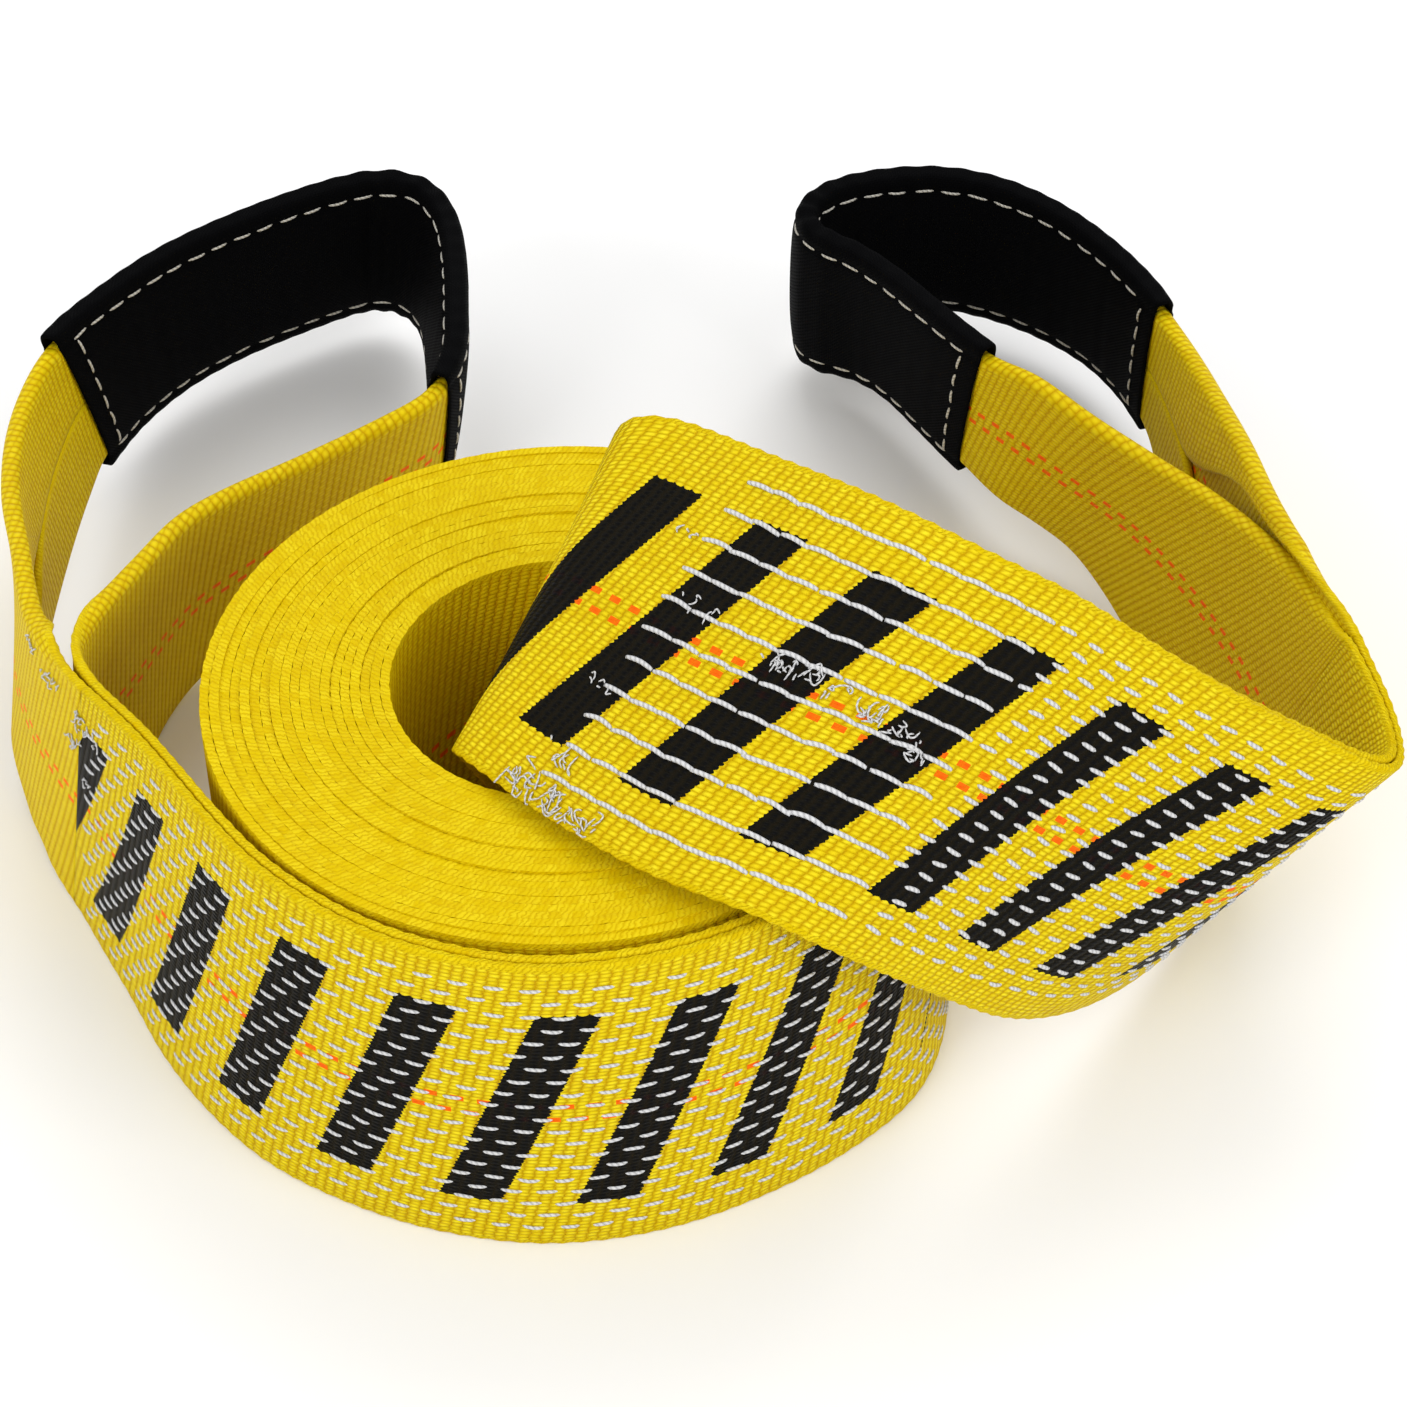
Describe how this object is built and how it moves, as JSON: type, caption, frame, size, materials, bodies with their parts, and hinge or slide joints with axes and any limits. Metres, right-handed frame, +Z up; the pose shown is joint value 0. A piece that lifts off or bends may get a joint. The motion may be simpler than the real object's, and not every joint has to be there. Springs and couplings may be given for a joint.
{
  "type": "tow strap",
  "caption": "Flat webbing tow strap rolled on its edge, with a sewn, sleeved eye standing free at each end.",
  "frame": {"origin": "centre of the bounding box, on the floor that the roll stands on", "axes": "+Z up along the roll's axis; +Y away from the viewer of the picture, towards the two eyes; +X to the right"},
  "size_m": [0.2774, 0.2806, 0.1262],
  "materials": {
    "webbing": "woven polyester, slight sheen",
    "sleeve": "matt woven cloth"
  },
  "bodies": {
    "root": {"webbing_roll": "webbing", "webbing_outer_run": "webbing", "webbing_left_eye": "webbing", "sleeve_left": "sleeve", "webbing_inner_run": "webbing", "webbing_right_eye": "webbing", "sleeve_right": "sleeve"}
  },
  "joints": []
}
